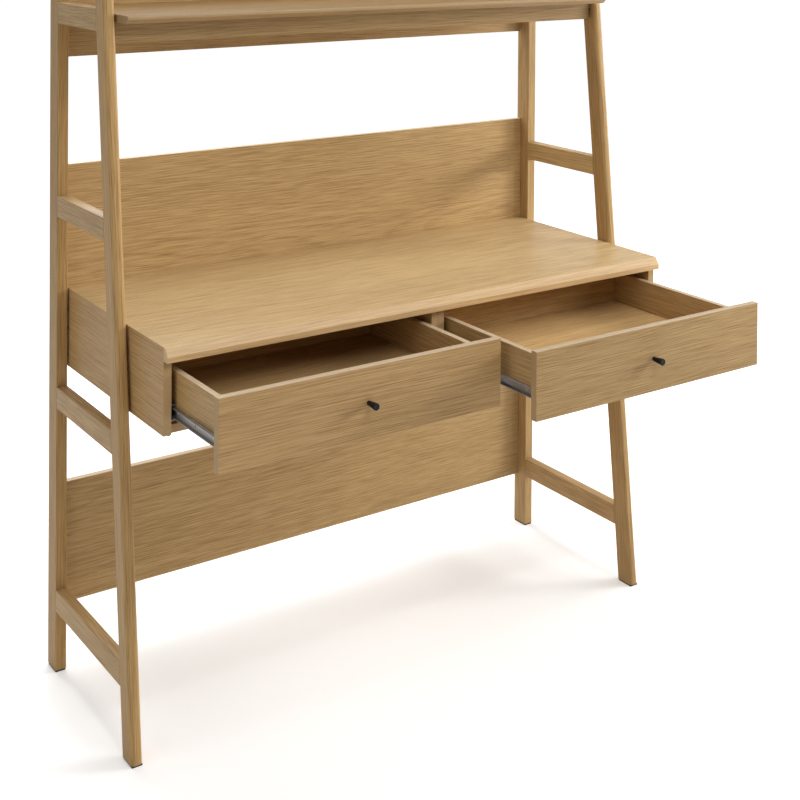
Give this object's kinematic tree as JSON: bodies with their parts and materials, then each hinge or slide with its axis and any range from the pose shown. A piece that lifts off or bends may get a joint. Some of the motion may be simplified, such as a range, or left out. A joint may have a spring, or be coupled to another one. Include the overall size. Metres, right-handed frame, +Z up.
{
  "type": "ladder desk",
  "caption": "Ladder desk: two leaning ladder frames carry a desk box with sliding drawers, back panels and shelves.",
  "frame": {"origin": "on the floor, at the centre of the bounding box of the desk with its drawers pulled out as at rest", "axes": "+Z up, +X to the sitter's right along the desk's width, the front faces -Y"},
  "size_m": [1.2, 0.803, 1.75],
  "materials": {
    "oak_boards": "light oak with a satin lacquer, grain along the width of the desk",
    "oak_box_sides": "light oak with a satin lacquer, grain from front to back",
    "oak_drawer_sides": "light oak with a satin lacquer, grain from front to back",
    "oak_drawer_bottoms": "light oak veneered board with a satin lacquer, grain along the width of the desk",
    "oak_legs": "light oak with a satin lacquer, grain along the leg",
    "oak_rails": "light oak with a satin lacquer, grain along the rail",
    "black_knob": "black satin paint",
    "slide_steel": "zinc-plated steel, dull",
    "fastener_steel": "zinc-plated steel",
    "black_plastic": "black, matte"
  },
  "bodies": {
    "frame": {"cabinet_slide_screws": "fastener_steel", "cam_discs": "fastener_steel", "cam_dowels": "fastener_steel", "desk_back": "oak_boards", "desk_base_caps": "black_plastic", "desk_bolts": "fastener_steel", "desk_bottom": "oak_boards", "desk_divider_left": "oak_box_sides", "desk_divider_right": "oak_box_sides", "desk_left_side": "oak_box_sides", "desk_right_side": "oak_box_sides", "desktop": "oak_boards", "frame_spacers": "black_plastic", "left_drawer_left_slide_outer": "slide_steel", "left_drawer_right_slide_outer": "slide_steel", "left_foot_rail": "oak_rails", "left_front_leg": "oak_legs", "left_lower_shelf_rail": "oak_rails", "left_over_desk_rail": "oak_rails", "left_rear_leg": "oak_legs", "left_under_desk_rail": "oak_rails", "left_upper_shelf_rail": "oak_rails", "leg_glides": "black_plastic", "lower_back_panel": "oak_boards", "lower_shelf_back_panel": "oak_boards", "lower_shelf_board": "oak_boards", "lower_shelf_front_apron": "oak_boards", "right_drawer_left_slide_outer": "slide_steel", "right_drawer_right_slide_outer": "slide_steel", "right_foot_rail": "oak_rails", "right_front_leg": "oak_legs", "right_lower_shelf_rail": "oak_rails", "right_over_desk_rail": "oak_rails", "right_rear_leg": "oak_legs", "right_under_desk_rail": "oak_rails", "right_upper_shelf_rail": "oak_rails", "upper_back_panel": "oak_boards", "upper_shelf_back_panel": "oak_boards", "upper_shelf_board": "oak_boards", "upper_shelf_front_apron": "oak_boards"},
    "left_drawer": {"left_drawer_back": "oak_boards", "left_drawer_bottom": "oak_drawer_bottoms", "left_drawer_front": "oak_boards", "left_drawer_knob": "black_knob", "left_drawer_left_side": "oak_drawer_sides", "left_drawer_left_slide_inner": "slide_steel", "left_drawer_right_side": "oak_drawer_sides", "left_drawer_right_slide_inner": "slide_steel", "left_drawer_screws": "fastener_steel"},
    "right_drawer": {"right_drawer_back": "oak_boards", "right_drawer_bottom": "oak_drawer_bottoms", "right_drawer_front": "oak_boards", "right_drawer_knob": "black_knob", "right_drawer_left_side": "oak_drawer_sides", "right_drawer_left_slide_inner": "slide_steel", "right_drawer_right_side": "oak_drawer_sides", "right_drawer_right_slide_inner": "slide_steel", "right_drawer_screws": "fastener_steel"},
    "left_ball_cages": {"left_drawer_ball_cages": "slide_steel"},
    "right_ball_cages": {"right_drawer_ball_cages": "slide_steel"}
  },
  "joints": [
    {"name": "left_drawer_slide", "type": "slide", "parent": "frame", "child": "left_drawer", "axis": [0, -1, 0], "range_m": [-0.184, 0.103]},
    {"name": "right_drawer_slide", "type": "slide", "parent": "frame", "child": "right_drawer", "axis": [0, -1, 0], "range_m": [-0.282, 0.005]},
    {"name": "left_ball_cages_roll", "type": "slide", "parent": "frame", "child": "left_ball_cages", "axis": [0, -1, 0], "range_m": [-0.092, 0.0515]},
    {"name": "right_ball_cages_roll", "type": "slide", "parent": "frame", "child": "right_ball_cages", "axis": [0, -1, 0], "range_m": [-0.141, 0.0025]}
  ],
  "couplings": [
    {"joint": "left_ball_cages_roll", "follows": "left_drawer_slide", "ratio": 0.5},
    {"joint": "right_ball_cages_roll", "follows": "right_drawer_slide", "ratio": 0.5}
  ]
}
